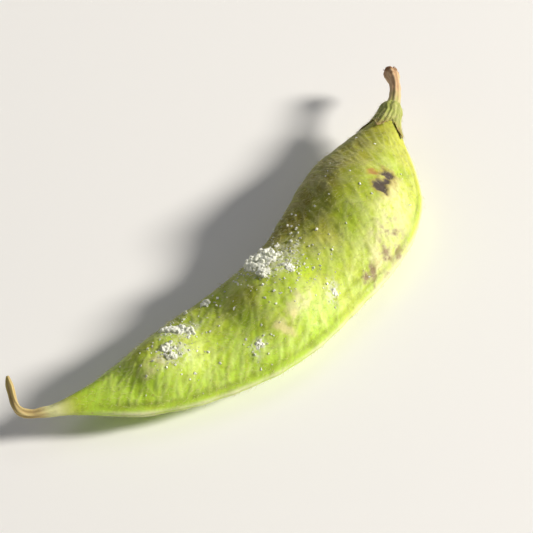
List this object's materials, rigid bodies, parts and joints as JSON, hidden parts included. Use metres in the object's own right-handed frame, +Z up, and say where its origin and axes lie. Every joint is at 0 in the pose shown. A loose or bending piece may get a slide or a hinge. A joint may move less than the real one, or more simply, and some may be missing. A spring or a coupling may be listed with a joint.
{
  "type": "edamame pod",
  "caption": "Curved, charred and salted edamame pod with a dry curled tip, a toothed calyx and a broken stalk, lying on its flank.",
  "frame": {"origin": "middle of the pod's bounding box in plan, on the plane it rests on", "axes": "+X from the dry tip to the stalk, +Y towards the inner side of the bend, +Z up from the resting surface"},
  "size_m": [0.073, 0.0228, 0.0098],
  "materials": {
    "hull": "moist satin green hull with short fuzz, blisters and char spots",
    "calyx": "dry, thin and matt",
    "stalk": "dry green-tan stalk, torn at its end",
    "salt": "rough white sea salt"
  },
  "bodies": {
    "root": {"pod": "hull", "calyx": "calyx", "stalk": "stalk", "salt_crust": "salt", "salt_edge_lump": "salt", "salt_smear": "salt", "salt_crystal_1": "salt", "salt_crystal_2": "salt", "salt_crystal_3": "salt", "salt_crystal_4": "salt", "salt_crystal_5": "salt"}
  },
  "joints": []
}
